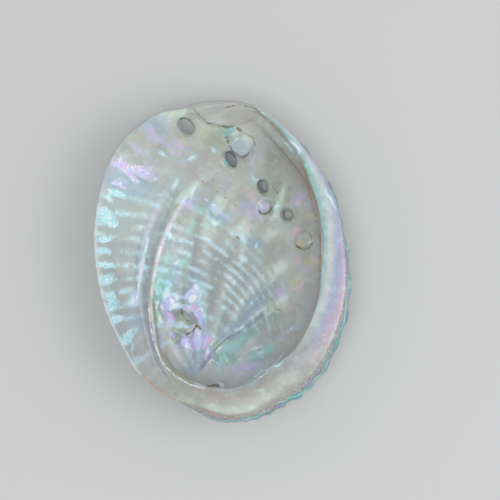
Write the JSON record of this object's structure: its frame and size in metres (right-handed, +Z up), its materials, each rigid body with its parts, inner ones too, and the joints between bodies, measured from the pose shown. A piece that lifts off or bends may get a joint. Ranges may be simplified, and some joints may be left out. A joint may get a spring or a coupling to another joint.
{
  "type": "abalone shell",
  "caption": "Polished abalone shell lying on its back, pearly inside up, with a ledge down one side and a row of open holes.",
  "frame": {"origin": "middle of the bottom of the shell's box, on the plane that the shell rests on", "axes": "+Y along the shell to its growing end, where the newest hole is; +X to the side with the flat ledge; +Z up, out of the bowl"},
  "size_m": [0.0936, 0.1205, 0.028],
  "materials": {
    "nacre": "gloss"
  },
  "bodies": {
    "root": {"shell": "nacre"}
  },
  "joints": []
}
